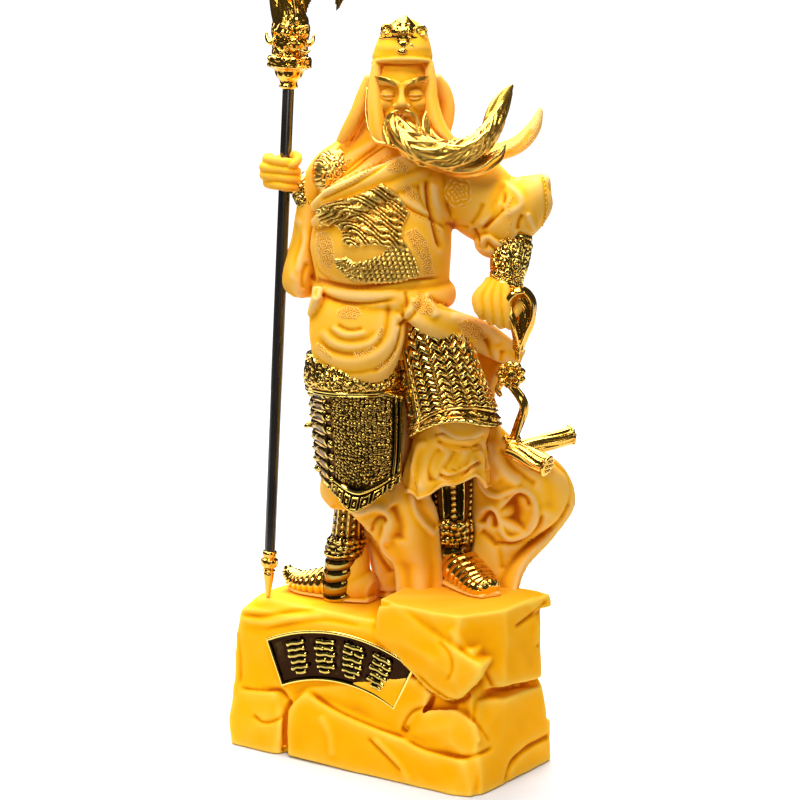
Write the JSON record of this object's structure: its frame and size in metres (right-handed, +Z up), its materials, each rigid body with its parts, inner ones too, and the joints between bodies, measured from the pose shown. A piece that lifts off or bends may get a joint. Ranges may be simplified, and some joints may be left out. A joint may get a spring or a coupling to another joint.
{
  "type": "bearded warrior statue",
  "caption": "Gilt resin statue of a standing bearded warrior in robe and armour, holding a long glaive, on a rock plinth with a fan-shaped plaque.",
  "frame": {"origin": "centre of the plinth's flat underside", "axes": "+Z up along the figure, -Y towards the front of the plinth with the plaque, +X to the figure's left"},
  "size_m": [0.2204, 0.1358, 0.602],
  "materials": {
    "sand_gold": "cast resin with a velvety matt sand-blasted gold coat",
    "plated_gold": "cast resin with bright polished gold plating",
    "black_lacquer": "straight rod with gloss black lacquer"
  },
  "bodies": {
    "root": {"figure": "sand_gold", "rock_plinth": "sand_gold", "plaque": "plated_gold", "ribbon_and_rolls": "plated_gold", "glaive_head": "plated_gold", "glaive_foot": "plated_gold", "glaive_shaft": "black_lacquer"}
  },
  "joints": []
}
